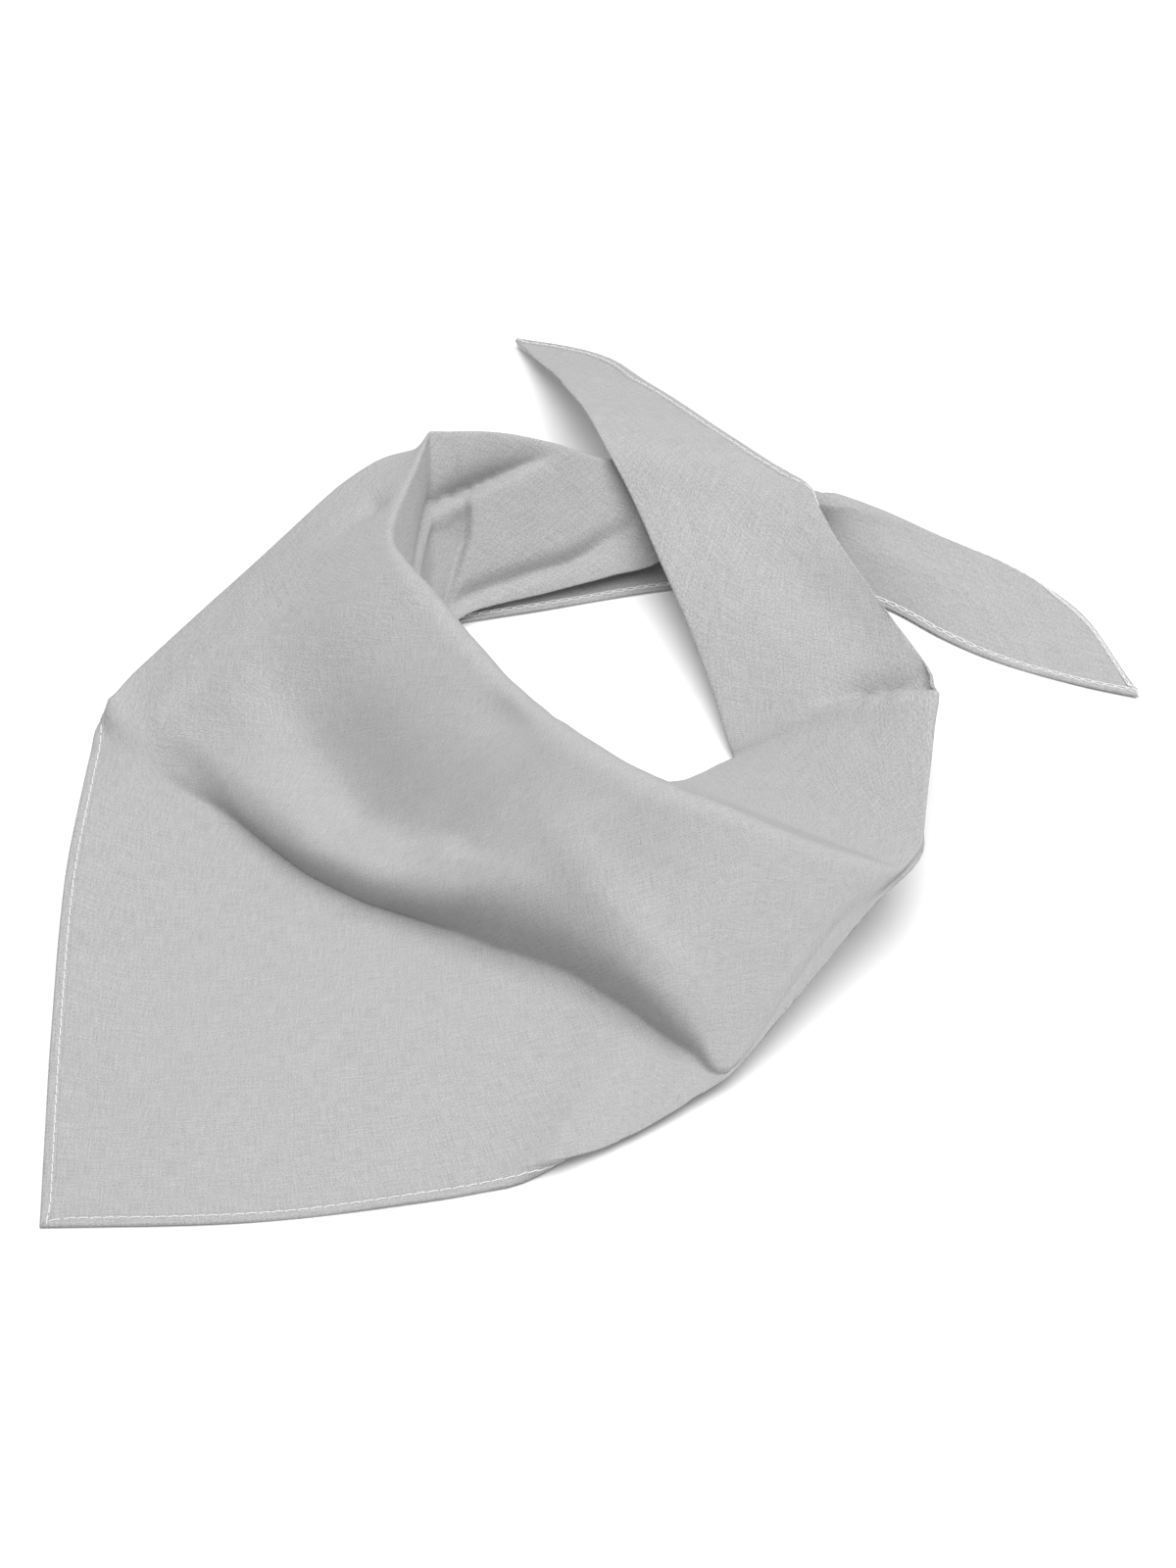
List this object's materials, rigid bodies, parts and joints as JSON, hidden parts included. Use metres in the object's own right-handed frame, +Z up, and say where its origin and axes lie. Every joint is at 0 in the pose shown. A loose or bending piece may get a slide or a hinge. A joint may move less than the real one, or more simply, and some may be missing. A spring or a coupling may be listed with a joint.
{
  "type": "triangle scarf",
  "caption": "Thin cloth triangle scarf laid as worn, with a flat front corner, a rolled collar round an open neck, tapered ends crossed at the back and narrow stitched hems.",
  "frame": {"origin": "middle of the underside of the box round the scarf, on the surface it lies on", "axes": "+Z up, +Y from the flat front corner to the crossed ends at the back, +X to the right as seen from the front"},
  "size_m": [0.3984, 0.4572, 0.065],
  "materials": {
    "cloth": "matte pale grey cloth with a fine heathered weave",
    "hem": "the same cloth turned over and stitched in pale grey thread"
  },
  "bodies": {
    "root": {"triangle_cloth": "cloth", "right_leg_hem": "hem", "left_leg_hem": "hem", "long_edge_hem": "hem"}
  },
  "joints": []
}
